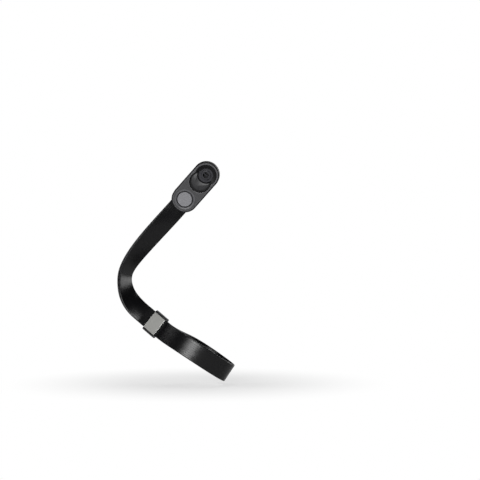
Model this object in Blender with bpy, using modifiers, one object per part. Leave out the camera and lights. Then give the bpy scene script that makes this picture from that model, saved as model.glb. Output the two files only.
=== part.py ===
"""Camera wrist strap with an anchor connector, a doubled webbing strap and a sliding sleeve.

The origin is the centre of the anchor's hub, where the strap hangs from. +Z is up, +X is to the
right, and the connector's front and the wrist loop's front face -Y.
"""

import math
from collections import namedtuple

import bmesh
import bpy
import numpy as np
from mathutils import Matrix, Vector

MM = 0.001

# Clearances
FIT = 0.3 * MM                      # between pieces that are cut to each other or rest together
TURN_FIT = 0.4 * MM                 # round the locking tongue, which tilts

# Webbing
STRAP_WIDTH = 19.0 * MM
STRAP_THICKNESS = 1.8 * MM
STRAP_EDGE_ROUND = 0.35 * MM
STATION_SPACING = 3.6 * MM          # along the strap's curved stretches

# Anchor
ANCHOR_RADIUS = 7.6 * MM
ANCHOR_FLANGE = 2.1 * MM
ANCHOR_HUB_RADIUS = 4.9 * MM
ANCHOR_HUB_RISE = 1.6 * MM
ANCHOR_EYE_RADIUS = 3.0 * MM
ANCHOR_BAR_RADIUS = 0.7 * MM
ANCHOR_EDGE = 0.4 * MM

# Connector covers
COVER_WALL = 2.25 * MM              # over the strap, front and rear
SIDE_WALL = 3.45 * MM               # beside the strap
KEYHOLE_RIM = 2.45 * MM             # beside the wide opening
KEYHOLE_OFFSET = 8.7 * MM           # from the anchor's seat to the wide opening
LIP_THICKNESS = 0.75 * MM
LIP_OVERLAP = 0.8 * MM              # over the anchor's flange
FUNNEL_BEVEL = 1.9 * MM
LIP_SLOPE = 0.3 * MM
CROSS_WALL = 1.5 * MM               # between the tongue's root and the strap
FRONT_EDGE = 0.9 * MM
REAR_EDGE = 1.8 * MM

# Locking tongue
TONGUE_THICKNESS = 1.2 * MM
TONGUE_NOSE_GAP = 1.0 * MM
TONGUE_HORN_ANGLE = 64.0            # degrees from the connector's axis to the nose's ends
TONGUE_SHOULDER_ANGLE = 125.0       # degrees round the wide opening where the sides begin
TONGUE_ROOT_HALF_WIDTH = 6.2 * MM
TONGUE_ROOT_INSET = 1.1 * MM        # of the pivot, beyond the wide opening
TONGUE_TAIL = 0.8 * MM              # beyond the pivot
TONGUE_SEAT = 1.3 * MM              # of the rear cover under the leaf, before the pivot
TONGUE_POCKET_DEPTH = 2.45 * MM

# Rivet
RIVET_EDGE_DISTANCE = 8.5 * MM      # from the strap's ends
RIVET_RADIUS = 2.3 * MM
RIVET_HEAD_RADIUS = 5.5 * MM
RIVET_HEAD_THICKNESS = 1.0 * MM
CAP_RADIUS = 7.3 * MM
CAP_THICKNESS = 1.3 * MM
CAP_ROOF = 0.6 * MM
CAP_EDGE = 0.35 * MM
CAP_RECESS_GAP = 1.0 * MM
CAP_RECESS_BEVEL = 1.2 * MM
CAP_RECESS_BEVEL_DEPTH = 0.6 * MM
CAP_RECESS_DEPTH = 1.5 * MM

# Cover screws
SCREW_RADIUS = 0.8 * MM
SCREW_HEAD_RADIUS = 1.5 * MM
SCREW_HEAD_THICKNESS = 1.0 * MM
SCREW_REACH = 2.0 * MM              # into the front cover
SCREW_EDGE_DISTANCE = 3.65 * MM     # from the covers' straight sides
SCREW_WAIST_SPACING = 3.7 * MM      # before the strap's cavity
SCREW_END_ANGLE = 128.0             # degrees round the anchor's seat

# Slider
SLIDER_LENGTH = 14.4 * MM
SLIDER_SIDE = 2.0 * MM
SLIDER_FRONT_WALL = 0.7 * MM
SLIDER_REAR_WALL = 1.1 * MM
SLIDER_SHOULDER = 0.6 * MM          # height of the rails beside the plate
SLIDER_ROUND = 2.2 * MM
SLIDER_EDGE = 0.25 * MM
PLATE_WIDTH = 18.8 * MM
PLATE_THICKNESS = 0.8 * MM
PLATE_CORNER = 0.7 * MM
PLATE_EDGE = 0.3 * MM

# Strap's route, chosen by hand, in millimetres
STRAP_END_RUN = 22.5                # straight inside the connector, from its end
BULGE = (-81.8, 26.0, -101.0)
SLIDER_CENTRE = (-50.2, 9.0, -147.6)
SLIDER_RUN_ABOVE = 17.0
SLIDER_RUN_BELOW = 9.0
LAYER_GAP = 0.3

# Headings in degrees: across the front view from +X towards +Z, then away from the viewer
CONNECTOR_HEADING = (-132.0, 12.0)
CONNECTOR_ROLL = 5.0
BULGE_HEADING = (-91.0, 0.0)
BULGE_ROLL = 61.0
SLIDER_HEADING = (-38.8, -24.0)
LOOP_HEADING = (-33.6, 0.0)

# Fineness of round shapes
FINE_SIDES = 64
SIDES = 40
SMALL_SIDES = 20
MERGE = 0.00001
PAST = 1.0 * MM                     # by which a cutter passes a face

# Values that follow from the ones above
LAYER_OFFSET = STRAP_THICKNESS / 2 + LAYER_GAP * MM / 2
CAVITY_HALF = LAYER_OFFSET + STRAP_THICKNESS / 2 + FIT
CAVITY_HALF_WIDTH = STRAP_WIDTH / 2 + FIT
HOUSING_HALF = CAVITY_HALF + COVER_WALL
HOUSING_RADIUS = STRAP_WIDTH / 2 + FIT + SIDE_WALL
SEAM = FIT / 2

KEYHOLE_RADIUS = HOUSING_RADIUS - KEYHOLE_RIM
CHANNEL_RADIUS = ANCHOR_RADIUS + FIT
FLANGE_TOP = SEAM + ANCHOR_FLANGE
CHANNEL_CEILING = FLANGE_TOP + FIT
LIP_TOP = CHANNEL_CEILING + LIP_THICKNESS
LIP_RADIUS = ANCHOR_RADIUS - LIP_OVERLAP

TONGUE_PIVOT = KEYHOLE_OFFSET + KEYHOLE_RADIUS + TONGUE_ROOT_INSET
TONGUE_END = TONGUE_PIVOT + TONGUE_TAIL
TONGUE_MIDDLE = SEAM + TONGUE_THICKNESS / 2
CAVITY_START = TONGUE_END + FIT + CROSS_WALL
STRAP_END = CAVITY_START + FIT
RIVET_DISTANCE = STRAP_END + RIVET_EDGE_DISTANCE

CAP_FLOOR = HOUSING_HALF - CAP_RECESS_DEPTH
CAP_BOTTOM = CAP_FLOOR + FIT
CAP_TOP = CAP_BOTTOM + CAP_THICKNESS
RIVET_TOP = CAP_TOP - CAP_ROOF - FIT
RIVET_HOLE_RADIUS = RIVET_RADIUS + FIT

PLATE_BOTTOM = CAVITY_HALF + SLIDER_FRONT_WALL + FIT
SLIDER_HALF_WIDTH = CAVITY_HALF_WIDTH + SLIDER_SIDE

Waypoint = namedtuple("Waypoint", "point heading face reach_in reach_out")


def clear_scene():
    for obj in list(bpy.data.objects):
        bpy.data.objects.remove(obj, do_unlink=True)


def new_collection(name):
    collection = bpy.data.collections.new(name)
    bpy.context.scene.collection.children.link(collection)
    return collection


def linear(hex_colour):
    """A six-digit sRGB colour as linear red, green, blue and alpha."""
    channels = [int(hex_colour[i:i + 2], 16) / 255 for i in (0, 2, 4)]
    return [c / 12.92 if c <= 0.04045 else ((c + 0.055) / 1.055) ** 2.4 for c in channels] + [1.0]


def new_material(name, hex_colour, roughness, metallic=0.0):
    material = bpy.data.materials.new(name)
    material.use_nodes = True
    shader = material.node_tree.nodes["Principled BSDF"]
    shader.inputs["Base Color"].default_value = linear(hex_colour)
    shader.inputs["Roughness"].default_value = roughness
    shader.inputs["Metallic"].default_value = metallic
    return material


def place(name, mesh, collection, parent=None, location=(0, 0, 0)):
    obj = bpy.data.objects.new(name, mesh)
    collection.objects.link(obj)
    obj.parent = parent
    obj.location = location
    return obj


def frame_empty(name, origin, along, outward, collection):
    """An empty whose X runs along the strap and whose Z points out of the front."""
    across = outward.cross(along)
    frame = Matrix((along, across, outward)).transposed().to_4x4()
    frame.translation = origin
    empty = bpy.data.objects.new(name, None)
    empty.empty_display_size = 10 * MM
    collection.objects.link(empty)
    empty.matrix_world = frame
    return empty


def arc(centre, radius, start, end, steps):
    """Points on a circle from one angle to another, in degrees, both ends included."""
    angles = [math.radians(start + (end - start) * i / steps) for i in range(steps + 1)]
    return [(centre[0] + radius * math.cos(a), centre[1] + radius * math.sin(a)) for a in angles]


def stadium(radius, length, sides=FINE_SIDES):
    """Two half circles, round the origin and round a point along X."""
    far_end = arc((length, 0), radius, -90, 90, sides // 2)
    near_end = arc((0, 0), radius, 90, 270, sides // 2)
    return far_end + near_end


def tidy_mesh(mesh):
    """Weld the caps of a filled outline and merge their triangles into flat faces."""
    bm = bmesh.new()
    bm.from_mesh(mesh)
    bmesh.ops.remove_doubles(bm, verts=bm.verts, dist=MERGE)
    bmesh.ops.dissolve_limit(bm, angle_limit=math.radians(0.5), verts=bm.verts, edges=bm.edges)
    bmesh.ops.recalc_face_normals(bm, faces=bm.faces)
    bm.to_mesh(mesh)
    bm.free()


def prism_mesh(name, outlines, low, high):
    """A flat outline, with any holes in it, made solid between two heights."""
    curve = bpy.data.curves.new(name, "CURVE")
    curve.dimensions = "2D"
    curve.fill_mode = "BOTH"
    curve.extrude = (high - low) / 2
    for outline in outlines:
        spline = curve.splines.new("POLY")
        spline.points.add(len(outline) - 1)
        for point, (x, y) in zip(spline.points, outline):
            point.co = (x, y, 0, 1)
        spline.use_cyclic_u = True
    guide = bpy.data.objects.new(name + "_outline", curve)
    bpy.context.scene.collection.objects.link(guide)
    depsgraph = bpy.context.evaluated_depsgraph_get()
    mesh = bpy.data.meshes.new_from_object(guide.evaluated_get(depsgraph))
    mesh.name = name
    bpy.data.objects.remove(guide, do_unlink=True)
    tidy_mesh(mesh)
    mesh.transform(Matrix.Translation((0, 0, (high + low) / 2)))
    return mesh


def cylinder_mesh(name, radius, low, high, sides=SIDES, centre=(0, 0)):
    bm = bmesh.new()
    bmesh.ops.create_cone(
        bm, cap_ends=True, segments=sides, radius1=radius, radius2=radius, depth=high - low,
        matrix=Matrix.Translation((centre[0], centre[1], (high + low) / 2)),
    )
    mesh = bpy.data.meshes.new(name)
    bm.to_mesh(mesh)
    bm.free()
    return mesh


def box_mesh(name, low, high):
    low, high = Vector(low), Vector(high)
    bm = bmesh.new()
    size = Matrix.Diagonal((high - low).to_4d())
    size[3][3] = 1
    bmesh.ops.create_cube(bm, size=1, matrix=Matrix.Translation((low + high) / 2) @ size)
    mesh = bpy.data.meshes.new(name)
    bm.to_mesh(mesh)
    bm.free()
    return mesh


def profile_mesh(name, profile):
    """An open line of radius and height pairs, read from the top down the outer side."""
    mesh = bpy.data.meshes.new(name)
    edges = [(i, i + 1) for i in range(len(profile) - 1)]
    mesh.from_pydata([(r, 0, z) for r, z in profile], edges, [])
    return mesh


def turn(obj, sides=SIDES):
    screw = obj.modifiers.new("turn", "SCREW")
    screw.steps = sides
    screw.render_steps = sides
    screw.use_merge_vertices = True
    screw.merge_threshold = MERGE
    screw.use_smooth_shade = False


def bevel(obj, width, segments=1, angle=35.0):
    modifier = obj.modifiers.new("edges", "BEVEL")
    modifier.width = width
    modifier.segments = segments
    modifier.limit_method = "ANGLE"
    modifier.angle_limit = math.radians(angle)


def combine(obj, other, operation="DIFFERENCE"):
    modifier = obj.modifiers.new(other.name, "BOOLEAN")
    modifier.operation = operation
    modifier.solver = "EXACT"
    modifier.object = other


def as_cutter(obj):
    obj.hide_render = True
    obj.display_type = "WIRE"
    return obj


def smooth(obj, angle=35.0):
    obj.data.shade_smooth()
    obj.data.set_sharp_from_angle(angle=math.radians(angle))


def direction(across, away):
    across, away = math.radians(across), math.radians(away)
    return Vector((math.cos(across) * math.cos(away), math.sin(away),
                   math.sin(across) * math.cos(away)))


def facing(heading, roll=0.0):
    """The direction square to a heading that looks to the viewer, rolled about the heading."""
    viewer = Vector((0, -1, 0))
    toward = (viewer - heading * viewer.dot(heading)).normalized()
    side = toward.cross(heading)
    roll = math.radians(roll)
    return toward * math.cos(roll) + side * math.sin(roll)


def connector_pose():
    along = direction(*CONNECTOR_HEADING)
    return Vector((0, 0, 0)), along, facing(along, CONNECTOR_ROLL)


def slider_pose():
    along = direction(*SLIDER_HEADING)
    return Vector(SLIDER_CENTRE) * MM, along, facing(along)


def sweep(start, end):
    """Stations on a smooth curve between two waypoints: place, heading and facing."""
    p0, p3 = np.array(start.point), np.array(end.point)
    p1 = p0 + np.array(start.heading) * start.reach_out * MM
    p2 = p3 - np.array(end.heading) * end.reach_in * MM
    span = np.linalg.norm(p3 - p0)
    count = max(3, math.ceil(span / STATION_SPACING))
    s = np.linspace(0, 1, count + 1)[:, None]
    points = p0 * (1 - s) ** 3 + 3 * p1 * s * (1 - s) ** 2 + 3 * p2 * s ** 2 * (1 - s) + p3 * s ** 3
    headings = (p1 - p0) * (1 - s) ** 2 + 2 * (p2 - p1) * s * (1 - s) + (p3 - p2) * s ** 2
    headings /= np.linalg.norm(headings, axis=1)[:, None]
    faces = np.array(start.face) * (1 - s) + np.array(end.face) * s
    faces -= headings * (faces * headings).sum(axis=1)[:, None]
    faces /= np.linalg.norm(faces, axis=1)[:, None]
    return list(zip(points, headings, faces))


def route(waypoints):
    stations = []
    for start, end in zip(waypoints[:-1], waypoints[1:]):
        stretch = sweep(start, end)
        stations += stretch if not stations else stretch[1:]
    return stations


def pair_stations():
    """The middle surface of the doubled strap, from its ends to past the slider."""
    _, along, front = connector_pose()
    centre, slide, slide_front = slider_pose()
    bulge = direction(*BULGE_HEADING)
    first = along * STRAP_END
    mouth = along * (STRAP_END + STRAP_END_RUN * MM)
    run_start = centre - slide * SLIDER_RUN_ABOVE * MM
    run_end = centre + slide * SLIDER_RUN_BELOW * MM
    straight_reach = STRAP_END_RUN / 3
    run_reach = (SLIDER_RUN_ABOVE + SLIDER_RUN_BELOW) / 3
    return route([
        Waypoint(first, along, front, 0, straight_reach),
        Waypoint(mouth, along, front, straight_reach, 26),
        Waypoint(Vector(BULGE) * MM, bulge, facing(bulge, BULGE_ROLL), 15, 23),
        Waypoint(run_start, slide, slide_front, 7, run_reach),
        Waypoint(run_end, slide, slide_front, run_reach, 0),
    ])


def loop_stations():
    """The open wrist loop, in a plane square to the wrist, with its outer side as the face."""
    centre, slide, slide_front = slider_pose()
    across = direction(*LOOP_HEADING)
    away = Vector((0, 1, 0))
    wrist = across.cross(away)

    def spot(right, back, up=0.0):
        return centre + (across * right + away * back + wrist * up) * MM

    def turned(angle):
        angle = math.radians(angle)
        heading = across * math.cos(angle) + away * math.sin(angle)
        return heading, heading.cross(wrist)

    end_of_run = centre + slide * SLIDER_RUN_BELOW * MM
    layer = slide_front * LAYER_OFFSET
    return route([
        Waypoint(end_of_run + layer, slide, slide_front, 0, 10),
        Waypoint(spot(46, -24, 0.3), *turned(-2), 19, 24),
        Waypoint(spot(87.5, 2), *turned(90), 15, 12),
        Waypoint(spot(55, 26), *turned(180), 18, 26),
        Waypoint(end_of_run - layer, -slide, -slide_front, 20, 0),
    ])


def strap_stations():
    """The whole webbing: front layer down, round the loop, rear layer back up."""
    pair = pair_stations()
    front = [(p + n * LAYER_OFFSET, t, n) for p, t, n in pair]
    rear = [(p - n * LAYER_OFFSET, -t, -n) for p, t, n in reversed(pair)]
    return front + loop_stations()[1:-1] + rear


def build_strap(parts, cutters, material, connector):
    stations = strap_stations()
    bm = bmesh.new()
    bmesh.ops.create_grid(bm, x_segments=1, y_segments=len(stations) - 1, size=0.5)
    rows = sorted(bm.verts, key=lambda v: (round(v.co.y * len(stations) * 4), v.co.x))
    for index, vert in enumerate(rows):
        point, heading, face = stations[index // 2]
        side = 1 if index % 2 else -1
        vert.co = Vector(point + np.cross(heading, face) * side * STRAP_WIDTH / 2)
    bmesh.ops.recalc_face_normals(bm, faces=bm.faces)
    mesh = bpy.data.meshes.new("strap_webbing")
    bm.to_mesh(mesh)
    bm.free()
    strap = place("strap_webbing", mesh, parts)
    strap.data.materials.append(material)
    solidify = strap.modifiers.new("thickness", "SOLIDIFY")
    solidify.thickness = STRAP_THICKNESS
    solidify.offset = 0
    solidify.use_even_offset = True
    bevel(strap, STRAP_EDGE_ROUND, angle=50)
    hole = as_cutter(place(
        "strap_rivet_hole",
        cylinder_mesh("strap_rivet_hole", RIVET_HOLE_RADIUS, -HOUSING_HALF, HOUSING_HALF,
                      SMALL_SIDES),
        cutters, connector, (RIVET_DISTANCE, 0, 0)))
    combine(strap, hole)
    smooth(strap)
    return strap


def screw_places():
    """Centres of the four cover screws in the connector's frame."""
    waist = CAVITY_START - SCREW_WAIST_SPACING
    side = HOUSING_RADIUS - SCREW_EDGE_DISTANCE
    end_radius = (CHANNEL_RADIUS + HOUSING_RADIUS) / 2
    angle = math.radians(SCREW_END_ANGLE)
    end = (end_radius * math.cos(angle), end_radius * math.sin(angle))
    return [(end[0], end[1]), (end[0], -end[1]), (waist, side), (waist, -side)]


def tongue_outline(grow=0.0):
    """The leaf seen from the front, made wider by a clearance for its pocket."""
    nose_radius = ANCHOR_RADIUS + TONGUE_NOSE_GAP - grow
    side_radius = KEYHOLE_RADIUS - TURN_FIT + grow
    root = TONGUE_ROOT_HALF_WIDTH + grow
    root_angle = math.degrees(math.asin(root / side_radius))
    centre = (KEYHOLE_OFFSET, 0)
    nose = arc((0, 0), nose_radius, TONGUE_HORN_ANGLE, -TONGUE_HORN_ANGLE, 20)
    lower = arc(centre, side_radius, -TONGUE_SHOULDER_ANGLE, -root_angle, 14)
    upper = arc(centre, side_radius, root_angle, TONGUE_SHOULDER_ANGLE, 14)
    return nose + lower, upper, root


def tongue_mesh():
    first, last, root = tongue_outline()
    outline = first + [(TONGUE_END, -root), (TONGUE_END, root)] + last
    mesh = prism_mesh("lock_tongue", [outline], SEAM, SEAM + TONGUE_THICKNESS)
    mesh.transform(Matrix.Translation((-TONGUE_PIVOT, 0, -TONGUE_MIDDLE)))
    return mesh


def build_front_cover(parts, cutters, material, connector):
    cover = place("front_cover",
                  prism_mesh("front_cover", [stadium(HOUSING_RADIUS, RIVET_DISTANCE)], SEAM,
                             HOUSING_HALF),
                  parts, connector)
    cover.data.materials.append(material)
    bevel_top_only(cover, FRONT_EDGE, HOUSING_HALF)

    def cutter(name, mesh, location=(0, 0, 0)):
        return as_cutter(place(name, mesh, cutters, connector, location))

    face = HOUSING_HALF + PAST
    combine(cover, cutter("wide_opening", cylinder_mesh(
        "wide_opening", KEYHOLE_RADIUS, SEAM - PAST, face, FINE_SIDES, (KEYHOLE_OFFSET, 0))))
    combine(cover, cutter("anchor_channel", prism_mesh(
        "anchor_channel", [stadium(CHANNEL_RADIUS, KEYHOLE_OFFSET, SIDES)], SEAM - PAST,
        CHANNEL_CEILING)))
    funnel = cutter("lip_funnel", profile_mesh("lip_funnel", [
        (0, face), (KEYHOLE_RADIUS, face), (KEYHOLE_RADIUS, HOUSING_HALF),
        (KEYHOLE_RADIUS - FUNNEL_BEVEL, LIP_TOP + LIP_SLOPE), (LIP_RADIUS, LIP_TOP),
        (LIP_RADIUS, CHANNEL_CEILING - PAST / 2), (0, CHANNEL_CEILING - PAST / 2)]))
    turn(funnel, FINE_SIDES)
    combine(cover, funnel)
    combine(cover, cutter("tongue_root_slot", box_mesh(
        "tongue_root_slot",
        (KEYHOLE_OFFSET, -TONGUE_ROOT_HALF_WIDTH - TURN_FIT, SEAM - PAST),
        (TONGUE_END + FIT, TONGUE_ROOT_HALF_WIDTH + TURN_FIT, SEAM + TONGUE_THICKNESS + FIT))))
    combine(cover, cutter("front_strap_cavity", box_mesh(
        "front_strap_cavity", (CAVITY_START, -CAVITY_HALF_WIDTH, SEAM - PAST),
        (RIVET_DISTANCE + HOUSING_RADIUS + PAST, CAVITY_HALF_WIDTH, CAVITY_HALF))))
    recess_radius = CAP_RADIUS + CAP_RECESS_GAP
    recess = cutter("cap_recess", profile_mesh("cap_recess", [
        (0, face), (recess_radius + CAP_RECESS_BEVEL, face),
        (recess_radius + CAP_RECESS_BEVEL, HOUSING_HALF),
        (recess_radius, HOUSING_HALF - CAP_RECESS_BEVEL_DEPTH), (recess_radius, CAP_FLOOR),
        (0, CAP_FLOOR)]), (RIVET_DISTANCE, 0, 0))
    turn(recess, FINE_SIDES)
    combine(cover, recess)
    combine(cover, cutter("front_rivet_hole", cylinder_mesh(
        "front_rivet_hole", RIVET_HOLE_RADIUS, SEAM - PAST, face, SMALL_SIDES,
        (RIVET_DISTANCE, 0))))
    for number, centre in enumerate(screw_places(), 1):
        name = f"front_screw_hole_{number}"
        combine(cover, cutter(name, cylinder_mesh(
            name, SCREW_RADIUS + FIT, SEAM - PAST, SEAM + SCREW_REACH + FIT, SMALL_SIDES, centre)))
    smooth(cover)
    return cover


def build_rear_cover(parts, cutters, material, connector):
    cover = place("rear_cover",
                  prism_mesh("rear_cover", [stadium(HOUSING_RADIUS, RIVET_DISTANCE)],
                             -HOUSING_HALF, -SEAM),
                  parts, connector)
    cover.data.materials.append(material)
    bevel_top_only(cover, REAR_EDGE, -HOUSING_HALF)

    def cutter(name, mesh):
        return as_cutter(place(name, mesh, cutters, connector))

    first, last, root = tongue_outline(TURN_FIT)
    pocket_end = TONGUE_PIVOT - TONGUE_SEAT
    pocket = first + [(pocket_end, -root), (pocket_end, root)] + last
    combine(cover, cutter("tongue_pocket", prism_mesh(
        "tongue_pocket", [pocket], -TONGUE_POCKET_DEPTH, PAST)))
    combine(cover, cutter("rear_strap_cavity", box_mesh(
        "rear_strap_cavity", (CAVITY_START, -CAVITY_HALF_WIDTH, -CAVITY_HALF),
        (RIVET_DISTANCE + HOUSING_RADIUS + PAST, CAVITY_HALF_WIDTH, PAST))))
    back = -HOUSING_HALF - PAST
    combine(cover, cutter("rear_rivet_hole", cylinder_mesh(
        "rear_rivet_hole", RIVET_HOLE_RADIUS, back, PAST, SMALL_SIDES, (RIVET_DISTANCE, 0))))
    combine(cover, cutter("rivet_head_seat", cylinder_mesh(
        "rivet_head_seat", RIVET_HEAD_RADIUS + FIT, back,
        -HOUSING_HALF + RIVET_HEAD_THICKNESS + FIT, SIDES, (RIVET_DISTANCE, 0))))
    for number, centre in enumerate(screw_places(), 1):
        hole = f"rear_screw_hole_{number}"
        seat = f"screw_head_seat_{number}"
        combine(cover, cutter(hole, cylinder_mesh(
            hole, SCREW_RADIUS + FIT, back, PAST, SMALL_SIDES, centre)))
        combine(cover, cutter(seat, cylinder_mesh(
            seat, SCREW_HEAD_RADIUS + FIT, back, -HOUSING_HALF + SCREW_HEAD_THICKNESS + FIT,
            SMALL_SIDES, centre)))
    smooth(cover)
    return cover


def bevel_top_only(obj, width, height):
    """Round the edge at one height, through bevel weights on that rim alone."""
    mesh = obj.data
    weights = mesh.attributes.new("bevel_weight_edge", "FLOAT", "EDGE")
    for edge in mesh.edges:
        ends = [mesh.vertices[index].co.z for index in edge.vertices]
        on_rim = all(abs(z - height) < MERGE for z in ends)
        weights.data[edge.index].value = 1.0 if on_rim else 0.0
    modifier = obj.modifiers.new("rim", "BEVEL")
    modifier.width = width
    modifier.segments = 3
    modifier.limit_method = "WEIGHT"


def build_anchor(parts, cutters, material, connector):
    hub_top = FLANGE_TOP + ANCHOR_HUB_RISE
    anchor = place("anchor_disc", profile_mesh("anchor_disc", [
        (0, hub_top), (ANCHOR_HUB_RADIUS - ANCHOR_EDGE, hub_top),
        (ANCHOR_HUB_RADIUS, hub_top - ANCHOR_EDGE), (ANCHOR_HUB_RADIUS, FLANGE_TOP),
        (ANCHOR_RADIUS - ANCHOR_EDGE, FLANGE_TOP), (ANCHOR_RADIUS, FLANGE_TOP - ANCHOR_EDGE),
        (ANCHOR_RADIUS, SEAM + ANCHOR_EDGE), (ANCHOR_RADIUS - ANCHOR_EDGE, SEAM),
        (0, SEAM)]), parts, connector)
    anchor.data.materials.append(material)
    turn(anchor, SIDES)
    eye = as_cutter(place("anchor_eye", cylinder_mesh(
        "anchor_eye", ANCHOR_EYE_RADIUS, SEAM - PAST, hub_top + PAST, 24), cutters, connector))
    combine(anchor, eye)
    bar_mesh = cylinder_mesh("anchor_bar", ANCHOR_BAR_RADIUS, -ANCHOR_EYE_RADIUS - PAST,
                             ANCHOR_EYE_RADIUS + PAST, 12)
    bar_mesh.transform(Matrix.Rotation(math.radians(90), 4, "X"))
    bar = as_cutter(place("anchor_bar", bar_mesh, cutters, connector,
                          (0, 0, SEAM + ANCHOR_FLANGE / 2)))
    combine(anchor, bar, "UNION")
    smooth(anchor)
    return anchor


def build_rivet(parts, cutters, post_material, cap_material, connector):
    head_top = -HOUSING_HALF + RIVET_HEAD_THICKNESS
    head_edge = RIVET_HEAD_RADIUS - CAP_EDGE
    post = place("rivet_post", profile_mesh("rivet_post", [
        (0, RIVET_TOP), (RIVET_RADIUS, RIVET_TOP), (RIVET_RADIUS, head_top),
        (RIVET_HEAD_RADIUS, head_top), (RIVET_HEAD_RADIUS, -HOUSING_HALF + CAP_EDGE),
        (head_edge, -HOUSING_HALF), (0, -HOUSING_HALF)]),
        parts, connector, (RIVET_DISTANCE, 0, 0))
    post.data.materials.append(post_material)
    turn(post, 32)
    smooth(post)
    cap = place("rivet_cap", profile_mesh("rivet_cap", [
        (0, CAP_TOP), (CAP_RADIUS - CAP_EDGE, CAP_TOP), (CAP_RADIUS, CAP_TOP - CAP_EDGE),
        (CAP_RADIUS, CAP_BOTTOM), (RIVET_HOLE_RADIUS, CAP_BOTTOM),
        (RIVET_HOLE_RADIUS, CAP_TOP - CAP_ROOF), (0, CAP_TOP - CAP_ROOF)]),
        parts, connector, (RIVET_DISTANCE, 0, 0))
    cap.data.materials.append(cap_material)
    turn(cap, 48)
    smooth(cap)


def build_screws(parts, material, connector):
    seat = -HOUSING_HALF + SCREW_HEAD_THICKNESS
    socket = SCREW_HEAD_RADIUS / 2
    socket_floor = -HOUSING_HALF + SCREW_HEAD_THICKNESS / 2
    for number, (x, y) in enumerate(screw_places(), 1):
        name = f"cover_screw_{number}"
        screw = place(name, profile_mesh(name, [
            (0, SEAM + SCREW_REACH), (SCREW_RADIUS, SEAM + SCREW_REACH), (SCREW_RADIUS, seat),
            (SCREW_HEAD_RADIUS, seat), (SCREW_HEAD_RADIUS, -HOUSING_HALF),
            (socket, -HOUSING_HALF), (socket, socket_floor), (0, socket_floor)]),
            parts, connector, (x, y, 0))
        screw.data.materials.append(material)
        turn(screw, 12)
        smooth(screw)


def build_tongue(parts, material, connector):
    tongue = place("lock_tongue", tongue_mesh(), parts, connector,
                   (TONGUE_PIVOT, 0, TONGUE_MIDDLE))
    tongue.data.materials.append(material)
    smooth(tongue)
    return tongue


def sleeve_outline():
    """The sleeve's section across the strap, with rails beside the plate, and its inside."""
    front = CAVITY_HALF + SLIDER_FRONT_WALL
    rail = PLATE_BOTTOM + SLIDER_SHOULDER
    rear = -CAVITY_HALF - SLIDER_REAR_WALL
    bed = PLATE_WIDTH / 2 + FIT
    side = SLIDER_HALF_WIDTH
    r = SLIDER_ROUND
    right = arc((side - r, rear + r), r, -90, 0, 6) + arc((side - r, rail - r), r, 0, 90, 6)
    left = arc((-side + r, rail - r), r, 90, 180, 6) + arc((-side + r, rear + r), r, 180, 270, 6)
    outer = right + [(bed, rail), (bed, front), (-bed, front), (-bed, rail)] + left
    w, h = CAVITY_HALF_WIDTH, CAVITY_HALF
    inner = [(-w, -h), (-w, h), (w, h), (w, -h)]
    return outer, inner


def build_slider(parts, sleeve_material, plate_material, slider):
    outer, inner = sleeve_outline()
    mesh = prism_mesh("slider_sleeve", [outer, inner], -SLIDER_LENGTH / 2, SLIDER_LENGTH / 2)
    along_strap = Matrix(((0, 0, 1, 0), (1, 0, 0, 0), (0, 1, 0, 0), (0, 0, 0, 1)))
    mesh.transform(along_strap)
    sleeve = place("slider_sleeve", mesh, parts, slider)
    sleeve.data.materials.append(sleeve_material)
    bevel(sleeve, SLIDER_EDGE, angle=50)
    smooth(sleeve)

    x, y, r = SLIDER_LENGTH / 2, PLATE_WIDTH / 2, PLATE_CORNER
    corners = [(x - r, y - r, 0), (-x + r, y - r, 90), (-x + r, -y + r, 180), (x - r, -y + r, 270)]
    outline = [point for cx, cy, start in corners for point in arc((cx, cy), r, start,
                                                                   start + 90, 4)]
    plate = place("slider_plate",
                  prism_mesh("slider_plate", [outline], PLATE_BOTTOM,
                             PLATE_BOTTOM + PLATE_THICKNESS),
                  parts, slider)
    plate.data.materials.append(plate_material)
    bevel_top_only(plate, PLATE_EDGE, PLATE_BOTTOM + PLATE_THICKNESS)
    smooth(plate)


def build():
    clear_scene()
    parts = new_collection("camera_wrist_strap")
    cutters = new_collection("cutters")
    front_plastic = new_material("moulded_nylon_front", "474749", 0.5)
    rear_plastic = new_material("moulded_nylon_rear", "1e1e20", 0.5)
    tongue_plastic = new_material("moulded_acetal_tongue", "3b3b3d", 0.45)
    anchor_plastic = new_material("moulded_polycarbonate_anchor", "323237", 0.4)
    grey_cap = new_material("painted_zinc_cap", "86868a", 0.45, 0.3)
    steel = new_material("turned_steel", "8a8a8c", 0.35, 1.0)
    black_screw = new_material("blackened_steel", "2a2a2c", 0.4, 1.0)
    webbing = new_material("nylon_webbing", "17171a", 0.55)
    black_sleeve = new_material("black_anodised_sleeve", "19191b", 0.35)
    satin_plate = new_material("satin_aluminium", "9c9c99", 0.35, 0.9)

    connector = frame_empty("connector_frame", *connector_pose(), parts)
    slider = frame_empty("slider_frame", *slider_pose(), parts)
    bpy.context.view_layer.update()

    build_front_cover(parts, cutters, front_plastic, connector)
    build_rear_cover(parts, cutters, rear_plastic, connector)
    build_tongue(parts, tongue_plastic, connector)
    build_anchor(parts, cutters, anchor_plastic, connector)
    build_rivet(parts, cutters, steel, grey_cap, connector)
    build_screws(parts, black_screw, connector)
    build_strap(parts, cutters, webbing, connector)
    build_slider(parts, black_sleeve, satin_plate, slider)
    bpy.context.view_layer.update()


build()
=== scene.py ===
import math
from collections import namedtuple

import bmesh
import bpy
import numpy as np
from mathutils import Matrix, Vector


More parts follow.
